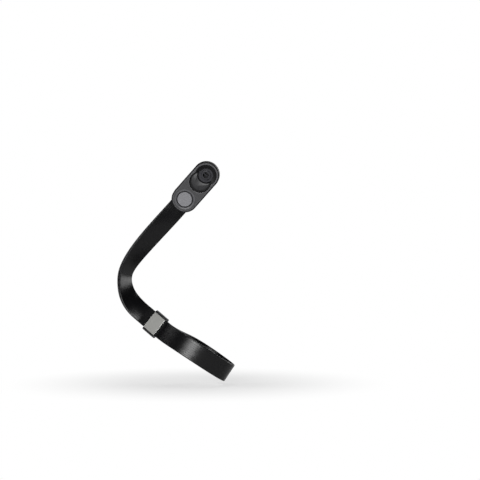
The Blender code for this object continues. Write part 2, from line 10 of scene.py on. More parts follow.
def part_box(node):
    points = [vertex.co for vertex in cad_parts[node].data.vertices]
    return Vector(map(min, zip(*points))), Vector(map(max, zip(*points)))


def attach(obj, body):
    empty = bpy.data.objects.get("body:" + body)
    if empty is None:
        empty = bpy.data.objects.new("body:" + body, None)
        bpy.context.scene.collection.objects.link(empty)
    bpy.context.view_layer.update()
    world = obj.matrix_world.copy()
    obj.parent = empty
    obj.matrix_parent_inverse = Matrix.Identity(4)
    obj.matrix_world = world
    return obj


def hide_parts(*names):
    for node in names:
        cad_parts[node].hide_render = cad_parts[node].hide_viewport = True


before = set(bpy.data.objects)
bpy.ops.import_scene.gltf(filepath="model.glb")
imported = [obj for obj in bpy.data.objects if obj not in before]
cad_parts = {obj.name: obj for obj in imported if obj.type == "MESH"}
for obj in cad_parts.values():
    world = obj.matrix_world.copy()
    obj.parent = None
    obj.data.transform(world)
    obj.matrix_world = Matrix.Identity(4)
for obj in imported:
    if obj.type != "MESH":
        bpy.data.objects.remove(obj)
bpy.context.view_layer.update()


# Strap webbing: one length of tightly woven black nylon, 19 mm wide, folded double from the
# connector to the slider and opened into the loop. The loom leaves soft ribs along it,
# and one rivet through both layers holds its ends.
MM = 0.001
STRAP_WIDTH = 19.0
STRAP_THICKNESS = 1.8
LAYER_OFFSET = (STRAP_THICKNESS + 0.3) / 2
STRAP_START = 23.5
STRAP_STRAIGHT = 22.5
BULGE = (-82.6, 26.0, -101.4)
SLIDER_CENTRE = (-50.2, 9.0, -147.6)
RUN_ABOVE_SLIDER = 17.0
RUN_BELOW_SLIDER = 9.0
STATION_SPACING = 1.2
EASE_LENGTH = 14.0          # from a held place to where the webbing bends freely
BEND_PASSES = 30
TWIST_PASSES = 90
RIB_COUNT = 9
RIB_HEIGHT = 0.035
RIVET_DISTANCE = 32.0
RIVET_HOLE_RADIUS = 2.6
DRILL_LENGTH = 12.0
EDGE_ROUNDING = 0.49        # of the thickness
SECTION_POINTS = 136
HELD_MATCH = 0.99999        # how nearly a face looks the way that it is held
FIBRE_WIDTH = 0.18          # about 0.03 on real nylon, which would not show
FIBRE_LENGTH = 2.5

Waypoint = namedtuple("Waypoint", "point heading face reach_in reach_out")


def direction(across, away):
    """A heading in degrees: across the front view from +X towards +Z, then away from it."""
    across, away = math.radians(across), math.radians(away)
    return Vector((math.cos(across) * math.cos(away), math.sin(away),
                   math.sin(across) * math.cos(away)))


def facing(heading, roll=0.0):
    """The direction square to a heading that looks to the viewer, rolled about the heading."""
    viewer = Vector((0, -1, 0))
    toward = (viewer - heading * viewer.dot(heading)).normalized()
    side = toward.cross(heading)
    roll = math.radians(roll)
    return toward * math.cos(roll) + side * math.sin(roll)


CONNECTOR_ALONG = direction(-132.0, 12.0)
CONNECTOR_FRONT = facing(CONNECTOR_ALONG, 5.0)
CONNECTOR_ACROSS = CONNECTOR_FRONT.cross(CONNECTOR_ALONG)
SLIDER_ALONG = direction(-38.8, -24.0)
SLIDER_FRONT = facing(SLIDER_ALONG)
BULGE_HEADING = direction(-91.0, 0.0)
LOOP_ACROSS = direction(-33.6, 0.0)
RIVET_PLACE = CONNECTOR_ALONG * RIVET_DISTANCE * MM


def sweep(start, end):
    """Stations on a smooth curve between two waypoints: place, heading and facing, in mm."""
    p0, p3 = np.array(start.point), np.array(end.point)
    p1 = p0 + np.array(start.heading) * start.reach_out
    p2 = p3 - np.array(end.heading) * end.reach_in
    count = max(3, math.ceil(np.linalg.norm(p3 - p0) / STATION_SPACING))
    s = np.linspace(0, 1, count + 1)[:, None]
    points = (p0 * (1 - s) ** 3 + 3 * p1 * s * (1 - s) ** 2 + 3 * p2 * s ** 2 * (1 - s)
              + p3 * s ** 3)
    headings = (p1 - p0) * (1 - s) ** 2 + 2 * (p2 - p1) * s * (1 - s) + (p3 - p2) * s ** 2
    headings /= np.linalg.norm(headings, axis=1)[:, None]
    faces = np.array(start.face) * (1 - s) + np.array(end.face) * s
    faces -= headings * (faces * headings).sum(axis=1)[:, None]
    faces /= np.linalg.norm(faces, axis=1)[:, None]
    return list(zip(points, headings, faces))


def route(waypoints):
    """The stations of all sweeps in a row, each joint only once."""
    stations = []
    for start, end in zip(waypoints[:-1], waypoints[1:]):
        stretch = sweep(start, end)
        stations += stretch if not stations else stretch[1:]
    return stations


def relaxed(stations, held_faces):
    """The same line in even steps, with its bends and twists evened out where it isn't held."""
    points, _, faces = (np.array(column) for column in zip(*stations))
    steps = np.linalg.norm(np.diff(points, axis=0), axis=1)
    travel = np.concatenate(([0], np.cumsum(steps)))
    even = np.linspace(0, travel[-1], math.ceil(travel[-1] / STATION_SPACING) + 1)
    points, faces = (np.column_stack([np.interp(even, travel, column) for column in values.T])
                     for values in (points, faces))
    held = np.max([faces @ np.array(face) for face in held_faces], axis=0) > HELD_MATCH
    from_held = np.min([np.linalg.norm(points - place, axis=1) for place in points[held]], axis=0)
    freedom = np.clip(from_held / EASE_LENGTH, 0, 1)[1:-1, None]
    for values, passes in ((points, BEND_PASSES), (faces, TWIST_PASSES)):
        for _ in range(passes):
            middle = (values[:-2] + 2 * values[1:-1] + values[2:]) / 4
            values[1:-1] += (middle - values[1:-1]) * freedom
    headings = np.gradient(points, axis=0)
    headings /= np.linalg.norm(headings, axis=1)[:, None]
    faces -= headings * (faces * headings).sum(axis=1)[:, None]
    faces /= np.linalg.norm(faces, axis=1)[:, None]
    return list(zip(points, headings, faces))


def pair_stations():
    """The middle of the doubled strap, from its ends to past the slider."""
    centre = Vector(SLIDER_CENTRE)
    first = CONNECTOR_ALONG * STRAP_START
    mouth = CONNECTOR_ALONG * (STRAP_START + STRAP_STRAIGHT)
    run_start = centre - SLIDER_ALONG * RUN_ABOVE_SLIDER
    run_end = centre + SLIDER_ALONG * RUN_BELOW_SLIDER
    end_reach = STRAP_STRAIGHT / 3
    run_reach = (RUN_ABOVE_SLIDER + RUN_BELOW_SLIDER) / 3
    return relaxed(route([
        Waypoint(first, CONNECTOR_ALONG, CONNECTOR_FRONT, 0, end_reach),
        Waypoint(mouth, CONNECTOR_ALONG, CONNECTOR_FRONT, end_reach, 26),
        Waypoint(Vector(BULGE), BULGE_HEADING, facing(BULGE_HEADING, 62.0), 15, 23),
        Waypoint(run_start, SLIDER_ALONG, SLIDER_FRONT, 7, run_reach),
        Waypoint(run_end, SLIDER_ALONG, SLIDER_FRONT, run_reach, 0),
    ]), (CONNECTOR_FRONT, SLIDER_FRONT))


def loop_stations():
    """The open loop, square to its own axis, with its outer side as the face."""
    centre = Vector(SLIDER_CENTRE)
    away = Vector((0, 1, 0))
    axis = LOOP_ACROSS.cross(away)

    def spot(right, back, up=0.0):
        return centre + LOOP_ACROSS * right + away * back + axis * up

    def turned(angle):
        angle = math.radians(angle)
        heading = LOOP_ACROSS * math.cos(angle) + away * math.sin(angle)
        return heading, heading.cross(axis)

    run_end = centre + SLIDER_ALONG * RUN_BELOW_SLIDER
    layer = SLIDER_FRONT * LAYER_OFFSET
    return relaxed(route([
        Waypoint(run_end + layer, SLIDER_ALONG, SLIDER_FRONT, 0, 10),
        Waypoint(spot(46, -24, 0.3), *turned(-2), 19, 24),
        Waypoint(spot(87.5, 2), *turned(90), 15, 12),
        Waypoint(spot(55, 26), *turned(180), 18, 26),
        Waypoint(run_end - layer, -SLIDER_ALONG, -SLIDER_FRONT, 20, 0),
    ]), (SLIDER_FRONT, -SLIDER_FRONT))


def strap_line():
    """The webbing's middle line as a mesh: front layer down, round the loop, rear layer up.

    Its face attribute says which way the webbing's outer side looks."""
    pair = pair_stations()
    front = [(p + n * LAYER_OFFSET, n) for p, t, n in pair]
    loop = [(p, n) for p, t, n in loop_stations()[1:-1]]
    rear = [(p - n * LAYER_OFFSET, -n) for p, t, n in reversed(pair)]
    stations = front + loop + rear
    mesh = bpy.data.meshes.new("strap_line")
    mesh.from_pydata([Vector(p) * MM for p, n in stations],
                     [(i, i + 1) for i in range(len(stations) - 1)], [])
    outer = mesh.attributes.new("face", "FLOAT_VECTOR", "POINT")
    for item, (p, n) in zip(outer.data, stations):
        item.vector = n
    return mesh


def add(tree, kind, settings=None, **given):
    """One node with its settings, and its inputs as values or as what is linked to them.

    A keyword i0 is input number 0, and Head_Height is the one named Head Height. A node that
    is given for an input stands for its own first output."""
    node = tree.nodes.new(kind)
    for key, value in (settings or {}).items():
        setattr(node, key, value)
    for key, value in given.items():
        numbered = key[0] == "i" and key[1:].isdigit()
        socket = node.inputs[int(key[1:]) if numbered else key.replace("_", " ")]
        if isinstance(value, bpy.types.Node):
            value = value.outputs[0]
        if isinstance(value, bpy.types.NodeSocket):
            tree.links.new(value, socket)
        else:
            socket.default_value = value
    return node


TIMES, PLUS, MINUS, SHARE = ({"operation": name}
                             for name in ("MULTIPLY", "ADD", "SUBTRACT", "DIVIDE"))
SOCKETS = {"length": "NodeSocketFloat", "count": "NodeSocketInt", "place": "NodeSocketVector",
           "turn": "NodeSocketRotation", "material": "NodeSocketMaterial"}


def geometry_tree(name, sizes):
    """A Geometry Nodes tree with a geometry input and one input for each named size."""
    tree = bpy.data.node_groups.new(name, "GeometryNodeTree")
    tree.interface.new_socket("Geometry", in_out="INPUT", socket_type="NodeSocketGeometry")
    for size, kind in sizes.items():
        tree.interface.new_socket(size, in_out="INPUT", socket_type=SOCKETS[kind])
    tree.interface.new_socket("Geometry", in_out="OUTPUT", socket_type="NodeSocketGeometry")
    start = tree.nodes.new("NodeGroupInput").outputs
    return tree, {socket.name: socket for socket in start}


def finish_tree(tree, mesh, material):
    """Real geometry with its material, into the tree's output."""
    real = add(tree, "GeometryNodeRealizeInstances", i0=mesh)
    dressed = add(tree, "GeometryNodeSetMaterial", i0=real, Material=material)
    add(tree, "NodeGroupOutput", i0=dressed)


def grown(name, base, tree, values):
    """The object that a tree makes from a base mesh, as a plain mesh without the modifier."""
    obj = bpy.data.objects.new(name, base)
    bpy.context.scene.collection.objects.link(obj)
    modifier = obj.modifiers.new(tree.name, "NODES")
    modifier.node_group = tree
    for item in tree.interface.items_tree:
        if item.in_out == "INPUT" and item.name in values:
            modifier[item.identifier] = values[item.name]
    depsgraph = bpy.context.evaluated_depsgraph_get()
    made = bpy.data.meshes.new_from_object(obj.evaluated_get(depsgraph),
                                           preserve_all_data_layers=True, depsgraph=depsgraph)
    made.name = name
    made.materials.clear()
    made.materials.append(values["Material"])
    made.polygons.foreach_set("material_index", [0] * len(made.polygons))
    obj.modifiers.clear()
    obj.data = made
    return obj


def strap_curve(tree, geometry):
    """The middle line as a curve whose normal is the webbing's outer side."""
    outer = add(tree, "GeometryNodeInputNamedAttribute", {"data_type": "FLOAT_VECTOR"},
                Name="face")
    curve = add(tree, "GeometryNodeMeshToCurve", i0=geometry)
    turned = add(tree, "GeometryNodeSetCurveNormal", {"mode": "FREE"}, i0=curve, Normal=outer)
    return turned.outputs[0], outer.outputs[0]


def webbing_tree():
    """Sweeps the ribbed section along the strap and stores its place across and along it."""
    tree, given = geometry_tree("woven_strap", {
        "Width": "length", "Thickness": "length", "Ribs": "count", "Rib Height": "length",
        "Hole Radius": "length", "Hole Place": "place", "Hole Turn": "turn",
        "Material": "material"})
    curve, _ = strap_curve(tree, given["Geometry"])
    travel = add(tree, "GeometryNodeSplineParameter")
    kept = add(tree, "GeometryNodeCaptureAttribute", {"domain": "POINT"})
    kept.capture_items.new("FLOAT", "along")
    tree.links.new(curve, kept.inputs[0])
    tree.links.new(travel.outputs["Length"], kept.inputs["along"])

    outline = add(tree, "GeometryNodeCurvePrimitiveQuadrilateral", Width=given["Thickness"],
                  Height=given["Width"])
    round_edge = add(tree, "ShaderNodeMath", TIMES, i0=given["Thickness"], i1=EDGE_ROUNDING)
    rounded = add(tree, "GeometryNodeFilletCurve", {"mode": "POLY"}, Count=6, Curve=outline,
                  Radius=round_edge)
    section = add(tree, "GeometryNodeResampleCurve", Count=SECTION_POINTS, Curve=rounded)
    place = add(tree, "GeometryNodeInputPosition")
    parts = add(tree, "ShaderNodeSeparateXYZ", i0=place).outputs
    held = add(tree, "GeometryNodeCaptureAttribute", {"domain": "POINT"})
    held.capture_items.new("FLOAT", "across")
    tree.links.new(section.outputs[0], held.inputs[0])
    tree.links.new(parts["Y"], held.inputs["across"])
    flat = add(tree, "ShaderNodeMath", MINUS, i0=given["Width"], i1=given["Thickness"])
    half_flat = add(tree, "ShaderNodeMath", TIMES, i0=flat, i1=0.5)
    from_edge = add(tree, "ShaderNodeMath", PLUS, i0=parts["Y"], i1=half_flat)
    share = add(tree, "ShaderNodeMath", SHARE, i0=from_edge, i1=flat)
    ribs = add(tree, "ShaderNodeMath", TIMES, i0=share, i1=given["Ribs"])
    turns = add(tree, "ShaderNodeMath", TIMES, i0=ribs, i1=2 * math.pi)
    wave = add(tree, "ShaderNodeMath", {"operation": "COSINE"}, i0=turns)
    below_crest = add(tree, "ShaderNodeMath", MINUS, i0=wave, i1=1.0)
    half_rib = add(tree, "ShaderNodeMath", TIMES, i0=given["Rib Height"], i1=0.5)
    sunk = add(tree, "ShaderNodeMath", TIMES, i0=below_crest, i1=half_rib)
    side = add(tree, "ShaderNodeMath", {"operation": "SIGN"}, i0=parts["X"])
    outward = add(tree, "ShaderNodeMath", TIMES, i0=sunk, i1=side)
    from_middle = add(tree, "ShaderNodeMath", {"operation": "ABSOLUTE"}, i0=parts["X"])
    on_face = add(tree, "ShaderNodeMath", {"operation": "GREATER_THAN"}, i0=from_middle,
                  i1=round_edge)
    rib_shift = add(tree, "ShaderNodeMath", TIMES, i0=outward, i1=on_face)
    shift = add(tree, "ShaderNodeCombineXYZ", X=rib_shift)
    ribbed = add(tree, "GeometryNodeSetPosition", i0=held, Offset=shift)

    swept = add(tree, "GeometryNodeCurveToMesh", Fill_Caps=True, i0=kept, i1=ribbed)
    on_strap = add(tree, "ShaderNodeCombineXYZ", X=held.outputs["across"],
                   Y=kept.outputs["along"])
    mapped = add(tree, "GeometryNodeStoreNamedAttribute",
                 {"data_type": "FLOAT2", "domain": "CORNER"}, Name="webbing", Geometry=swept,
                 Value=on_strap)
    drill = add(tree, "GeometryNodeMeshCylinder", Vertices=40, Depth=DRILL_LENGTH * MM,
                Radius=given["Hole Radius"])
    drill = add(tree, "GeometryNodeTransform", Geometry=drill, Translation=given["Hole Place"],
                Rotation=given["Hole Turn"])
    holed = add(tree, "GeometryNodeMeshBoolean", {"operation": "DIFFERENCE", "solver": "EXACT"},
                i0=mapped, i1=drill)
    smooth = add(tree, "GeometryNodeSetShadeSmooth", i0=holed)
    finish_tree(tree, smooth, given["Material"])
    return tree


def colour(hex_code):
    """A six-digit sRGB colour as linear red, green, blue and alpha."""
    channels = [int(hex_code[i:i + 2], 16) / 255 for i in (0, 2, 4)]
    return [c / 12.92 if c <= 0.04045 else ((c + 0.055) / 1.055) ** 2.4 for c in channels] + [1.0]


def new_material(name, **settings):
    """A Principled material, with the values that are the same all over it."""
    material = bpy.data.materials.new(name)
    material.use_nodes = True
    shader = material.node_tree.nodes["Principled BSDF"]
    for socket, value in settings.items():
        shader.inputs[socket.replace("_", " ")].default_value = value
    return material, shader


def coloured(tree, shader, value, *stops):
    """The shader's colour: hex codes at two places of a value, and what lies between them."""
    colours = add(tree, "ShaderNodeValToRGB", i0=value)
    for element, (place, hex_code) in zip(colours.color_ramp.elements, stops):
        element.position = place
        element.color = colour(hex_code)
    tree.links.new(colours.outputs["Color"], shader.inputs["Base Color"])


def roughened(tree, shader, value, low, high):
    """The shader's roughness: low where a value is 0, high where it is 1."""
    spread = add(tree, "ShaderNodeMath", TIMES, i0=value, i1=high - low)
    roughness = add(tree, "ShaderNodeMath", PLUS, i0=spread, i1=low)
    tree.links.new(roughness.outputs[0], shader.inputs["Roughness"])


def object_noise(tree, size, detail=2.0):
    """Noise in real millimetres on the object's own coordinates."""
    place = add(tree, "ShaderNodeTexCoord").outputs["Object"]
    return add(tree, "ShaderNodeTexNoise", Scale=1 / (size * MM), Detail=detail, Vector=place)


def bumped(tree, shader, height, depth, strength):
    """Relief of a depth in millimetres under the shader."""
    bump = add(tree, "ShaderNodeBump", Strength=strength, Distance=depth * MM, Height=height)
    tree.links.new(bump.outputs[0], shader.inputs["Normal"])


def woven_nylon():
    """Flat nylon yarns in narrow chevrons, with painted shade in the gaps between them.

    The yarns are 1.1 mm apart where real ones are about 0.6 mm, so that they still show."""
    yarn = 1.1 * MM
    chevron = 4.1 * MM
    material, shader = new_material("woven_nylon_black", IOR=1.53, Specular_IOR_Level=0.3)
    tree = material.node_tree
    uv = add(tree, "ShaderNodeUVMap", {"uv_map": "webbing"})
    parts = add(tree, "ShaderNodeSeparateXYZ", i0=uv).outputs
    zigzag = add(tree, "ShaderNodeMath", {"operation": "PINGPONG"}, i0=parts["X"], i1=chevron)
    slant = add(tree, "ShaderNodeMath", PLUS, i0=zigzag, i1=parts["Y"])
    turns = add(tree, "ShaderNodeMath", TIMES, i0=slant, i1=2 * math.pi / yarn)
    wave = add(tree, "ShaderNodeMath", {"operation": "SINE"}, i0=turns)
    half_wave = add(tree, "ShaderNodeMath", TIMES, i0=wave, i1=0.5)
    height = add(tree, "ShaderNodeMath", PLUS, i0=half_wave, i1=0.5)
    strand = add(tree, "ShaderNodeVectorMath", TIMES, i0=uv,
                 i1=(1 / (FIBRE_WIDTH * MM), 1 / (FIBRE_LENGTH * MM), 0))
    fibre = add(tree, "ShaderNodeTexNoise", Scale=1.0, Detail=2.0, Vector=strand)
    mottle = object_noise(tree, 11, 4.0)
    # the yarns' height darkens the gaps between them in the colour: painted shade
    painted_gap_shade = add(tree, "ShaderNodeMath", TIMES, i0=height, i1=0.5)
    from_mottle = add(tree, "ShaderNodeMath", TIMES, i0=mottle, i1=0.5)
    tone = add(tree, "ShaderNodeMath", PLUS, i0=painted_gap_shade, i1=from_mottle)
    coloured(tree, shader, tone, (0.25, "040405"), (0.7, "0c0c0e"))
    roughened(tree, shader, fibre, 0.21, 0.31)
    fine = add(tree, "ShaderNodeMath", TIMES, i0=fibre, i1=0.2)
    relief = add(tree, "ShaderNodeMath", PLUS, i0=height, i1=fine)
    bumped(tree, shader, relief, 0.03, 0.45)
    return material


def turned_to(axis, along):
    """The turn that brings Z to an axis and X to a direction square to it."""
    return Matrix((along, axis.cross(along), axis)).transposed().to_euler()


webbing = grown("webbing_strap", strap_line(), webbing_tree(), {
    "Width": STRAP_WIDTH * MM, "Thickness": STRAP_THICKNESS * MM, "Ribs": RIB_COUNT,
    "Rib Height": RIB_HEIGHT * MM, "Hole Radius": RIVET_HOLE_RADIUS * MM,
    "Hole Place": RIVET_PLACE, "Hole Turn": turned_to(CONNECTOR_FRONT, CONNECTOR_ALONG),
    "Material": woven_nylon()})
webbing.data.set_sharp_from_angle(angle=math.radians(60))
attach(webbing, "root")
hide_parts("strap_webbing")


# Selvedges: along both edges of the webbing each weft yarn turns back round the outermost warp,
# which leaves a firm row of small loops. They are woven in one with it, in the same black nylon,
# coloured lighter as a painted highlight along the strap's edges.
PICK_SPACING = 0.75         # about 0.5 on the real webbing, which would not show
PICK_PROUD = 0.07
PICK_REACH = 0.3
PICK_HALF_THICKNESS = 0.48  # of the webbing's thickness
PICK_HALF_LENGTH = 0.46     # of the spacing


def selvedge_tree():
    """Small yarn loops side by side along both edges of the strap."""
    tree, given = geometry_tree("selvedge_picks", {
        "Width": "length", "Thickness": "length", "Spacing": "length", "Proud": "length",
        "Reach": "length", "Material": "material"})
    curve, outer = strap_curve(tree, given["Geometry"])
    tangent = add(tree, "GeometryNodeInputTangent")
    across = add(tree, "ShaderNodeVectorMath", {"operation": "CROSS_PRODUCT"}, i0=tangent,
                 i1=outer)
    pick = add(tree, "GeometryNodeMeshUVSphere", Segments=6, Rings=4, Radius=1.0)
    half_thick = add(tree, "ShaderNodeMath", TIMES, i0=given["Thickness"],
                     i1=PICK_HALF_THICKNESS)
    half_long = add(tree, "ShaderNodeMath", TIMES, i0=given["Spacing"], i1=PICK_HALF_LENGTH)
    size = add(tree, "ShaderNodeCombineXYZ", X=half_thick, Y=given["Reach"], Z=half_long)
    edge_place = add(tree, "ShaderNodeMath", TIMES, i0=given["Width"], i1=0.5)
    tip = add(tree, "ShaderNodeMath", PLUS, i0=given["Proud"], i1=edge_place)
    middle = add(tree, "ShaderNodeMath", MINUS, i0=tip, i1=given["Reach"])
    rows = add(tree, "GeometryNodeJoinGeometry")
    for side in (1.0, -1.0):
        to_edge = add(tree, "ShaderNodeMath", TIMES, i0=middle, i1=side)
        offset = add(tree, "ShaderNodeVectorMath", {"operation": "SCALE"}, i0=across,
                     Scale=to_edge)
        edge = add(tree, "GeometryNodeSetPosition", i0=curve, Offset=offset)
        spaced = add(tree, "GeometryNodeResampleCurve", {"mode": "LENGTH"}, Curve=edge,
                     Length=given["Spacing"])
        turned = add(tree, "FunctionNodeAxesToRotation",
                     {"primary_axis": "Z", "secondary_axis": "X"}, i0=tangent, i1=outer)
        picks = add(tree, "GeometryNodeInstanceOnPoints", Points=spaced, Instance=pick,
                    Rotation=turned, Scale=size)
        tree.links.new(picks.outputs[0], rows.inputs[0])
    finish_tree(tree, rows, given["Material"])
    return tree


def selvedge_yarn():
    """The weft yarn where it turns back: the same nylon, a little glossier, and lighter as a
    painted highlight.
    """
    material, shader = new_material("selvedge_nylon_painted_highlight", IOR=1.53, Specular_IOR_Level=0.5)
    tree = material.node_tree
    fibre = object_noise(tree, 0.25, 3.0)
    # lighter than the webbing: a painted highlight along the strap's edges
    coloured(tree, shader, fibre, (0.3, "161619"), (0.7, "242428"))
    roughened(tree, shader, fibre, 0.3, 0.45)
    bumped(tree, shader, fibre, 0.04, 0.5)
    return material


selvedge = grown("webbing_selvedge", strap_line(), selvedge_tree(), {
    "Width": STRAP_WIDTH * MM, "Thickness": STRAP_THICKNESS * MM,
    "Spacing": PICK_SPACING * MM, "Proud": PICK_PROUD * MM, "Reach": PICK_REACH * MM,
    "Material": selvedge_yarn()})
selvedge.data.shade_smooth()
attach(selvedge, "root")


# Rear cover: a black glass-filled nylon moulding with a spark-eroded grain, which carries the
# anchor, the locking leaf and the strap's ends. Its back edge is well rounded.
SEAM_DISTANCE = 0.001       # between the points of two faces that belong together
FLAT_ANGLE = 0.6            # degrees, below which two faces count as one
SHARP_ANGLE = 32.0          # degrees, above which an edge is eased
WELD_DISTANCE = 0.003       # between leftover points of the eased edges


def moulded_nylon(name, dark, light, grain=0.22, rough=(0.42, 0.56), depth=0.008, gloss=0.35):
    """Moulded nylon: an even satin grain from the tool, and a slight cloudiness.

    The grain is about twice as coarse as a real one, so that it still shows."""
    material, shader = new_material(name, IOR=1.53, Specular_IOR_Level=gloss)
    tree = material.node_tree
    cloud = object_noise(tree, 6, 3.0)
    pits = object_noise(tree, grain, 1.0)
    from_cloud = add(tree, "ShaderNodeMath", TIMES, i0=cloud, i1=0.7)
    from_pits = add(tree, "ShaderNodeMath", TIMES, i0=pits, i1=0.3)
    tone = add(tree, "ShaderNodeMath", PLUS, i0=from_cloud, i1=from_pits)
    coloured(tree, shader, tone, (0.35, dark), (0.65, light))
    roughened(tree, shader, cloud, *rough)
    bumped(tree, shader, pits, depth, 0.5)
    return material


def refined(node, name, materials, body, edge, finish=None):
    """A piece with its node's own shape, its curves shaded smooth and its sharp edges eased.

    The materials are its finishes, and finish(bm) gives them to its faces."""
    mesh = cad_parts[node].data.copy()
    mesh.name = name
    mesh.materials.clear()
    for material in materials:
        mesh.materials.append(material)
    bm = bmesh.new()
    bm.from_mesh(mesh)
    bmesh.ops.remove_doubles(bm, verts=bm.verts, dist=SEAM_DISTANCE * MM)
    bmesh.ops.dissolve_limit(bm, angle_limit=math.radians(FLAT_ANGLE), verts=bm.verts,
                             edges=bm.edges)
    if finish:
        finish(bm)
    bm.to_mesh(mesh)
    bm.free()
    mesh.shade_smooth()
    obj = bpy.data.objects.new(name, mesh)
    bpy.context.scene.collection.objects.link(obj)
    eased = obj.modifiers.new("eased_edges", "BEVEL")
    eased.width = edge * MM
    eased.segments = 2
    eased.limit_method = "ANGLE"
    eased.angle_limit = math.radians(SHARP_ANGLE)
    welded = obj.modifiers.new("welded", "WELD")
    welded.merge_threshold = WELD_DISTANCE * MM
    flat = obj.modifiers.new("flat_faces", "WEIGHTED_NORMAL")
    flat.weight = 80
    depsgraph = bpy.context.evaluated_depsgraph_get()
    obj.data = bpy.data.meshes.new_from_object(obj.evaluated_get(depsgraph))
    obj.data.name = name
    obj.modifiers.clear()
    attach(obj, body)
    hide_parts(node)


black_nylon = moulded_nylon("moulded_nylon_black", "0b0b0d", "131315", gloss=0.2)
refined("rear_cover", "cover_rear", [black_nylon], "root", 0.08)


# Locking leaf: a springy tongue of black nylon, held at its root between the covers, with a
# thin grey acetal pad on it. The black that shows round the pad is painted shade at the edge of
# the opening. Its hollow nose stands behind the anchor and drops when pressed.
LEAF_TOP = 1.35
PAD_THICKNESS = 0.3
PAD_EDGE = 0.12
PAD_RADIUS = 8.9
PAD_NOSE_RADIUS = 8.75
OPENING_CENTRE = 8.7
# the leaf's black round the smaller pad is painted shade at the opening's edge
refined("lock_tongue", "locking_leaf", [black_nylon], "tongue", 0.1)


def pad_outline():
    """The pad's outline seen from the front: round the opening, hollow towards the anchor."""
    nose, side, gap = PAD_NOSE_RADIUS, PAD_RADIUS, OPENING_CENTRE
    meet = (nose ** 2 - side ** 2 + gap ** 2) / (2 * gap)
    height = math.sqrt(nose ** 2 - meet ** 2)
    horn = math.atan2(height, meet)
    shoulder = math.atan2(height, meet - gap)
    hollow = [(nose * math.cos(a), nose * math.sin(a)) for a in np.linspace(horn, -horn, 40)]
    outside = [(gap + side * math.cos(a), side * math.sin(a))
               for a in np.linspace(-shoulder, shoulder, 72)]
    return hollow + outside[1:-1]


def raised_plate(name, outline, bottom, thickness, edge, material):
    """A thin plate on the connector, with its outline across the front and a rounded rim."""
    bm = bmesh.new()
    verts = [bm.verts.new((CONNECTOR_ALONG * a - CONNECTOR_ACROSS * b
                           + CONNECTOR_FRONT * bottom) * MM) for a, b in outline]
    base = bm.faces.new(verts)
    lift = bmesh.ops.extrude_face_region(bm, geom=[base])["geom"]
    for item in lift:
        if isinstance(item, bmesh.types.BMVert):
            item.co += CONNECTOR_FRONT * thickness * MM
    bmesh.ops.recalc_face_normals(bm, faces=bm.faces)
    top_edges = [e for e in bm.edges if all(v.co.dot(CONNECTOR_FRONT) / MM
                                            > bottom + thickness / 2 for v in e.verts)]
    bmesh.ops.bevel(bm, geom=top_edges, offset=edge * MM, segments=2, profile=0.5,
                    affect="EDGES")
    mesh = bpy.data.meshes.new(name)
    bm.to_mesh(mesh)
    bm.free()
    mesh.materials.append(material)
    mesh.shade_smooth()
    mesh.set_sharp_from_angle(angle=math.radians(50))
    obj = bpy.data.objects.new(name, mesh)
    bpy.context.scene.collection.objects.link(obj)
    return obj


acetal = moulded_nylon("moulded_acetal_grey", "323234", "3a3a3c", 0.3, (0.32, 0.46), 0.006)
pad = raised_plate("press_pad", pad_outline(), LEAF_TOP, PAD_THICKNESS, PAD_EDGE, acetal)
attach(pad, "tongue")


# Anchor: a disc of tough plastic with a hub on it and an eye with a bar across it, moulded in
# one. Sliding in and out of the connector has polished it a little.
anchor_plastic = moulded_nylon("moulded_anchor_dark", "2c2c31", "36363b", 0.3, (0.26, 0.42),
                               0.008)
refined("anchor_disc", "anchor", [anchor_plastic], "root", 0.1)


# Front cover: a dark grey face with black sides. A lighter band round its rims is a painted
# highlight, and the slopes inside the keyhole and the rivet's recess are black as painted shade,
# as is a band drawn in from the outline.
FACE_HEIGHT = 4.45          # above which a level face is part of the grey one
# how far the outline's band is drawn in, so that more black shows: painted shade
OUTLINE_SHADE_WIDTH = 0.4
# width of the painted highlight round the face's rims
HIGHLIGHT_RIM_WIDTH = 0.4
OUTER_RIM_RADIUS = 11.6     # beyond which a rim is the outline's, not an opening's
RECESS_BEVEL_RADIUS = 9.5
FACE_SLOPE = 0.999          # how nearly a level face looks to the connector's front
BEVEL_SLOPE = 0.5           # the same for the bevel round the rivet's recess


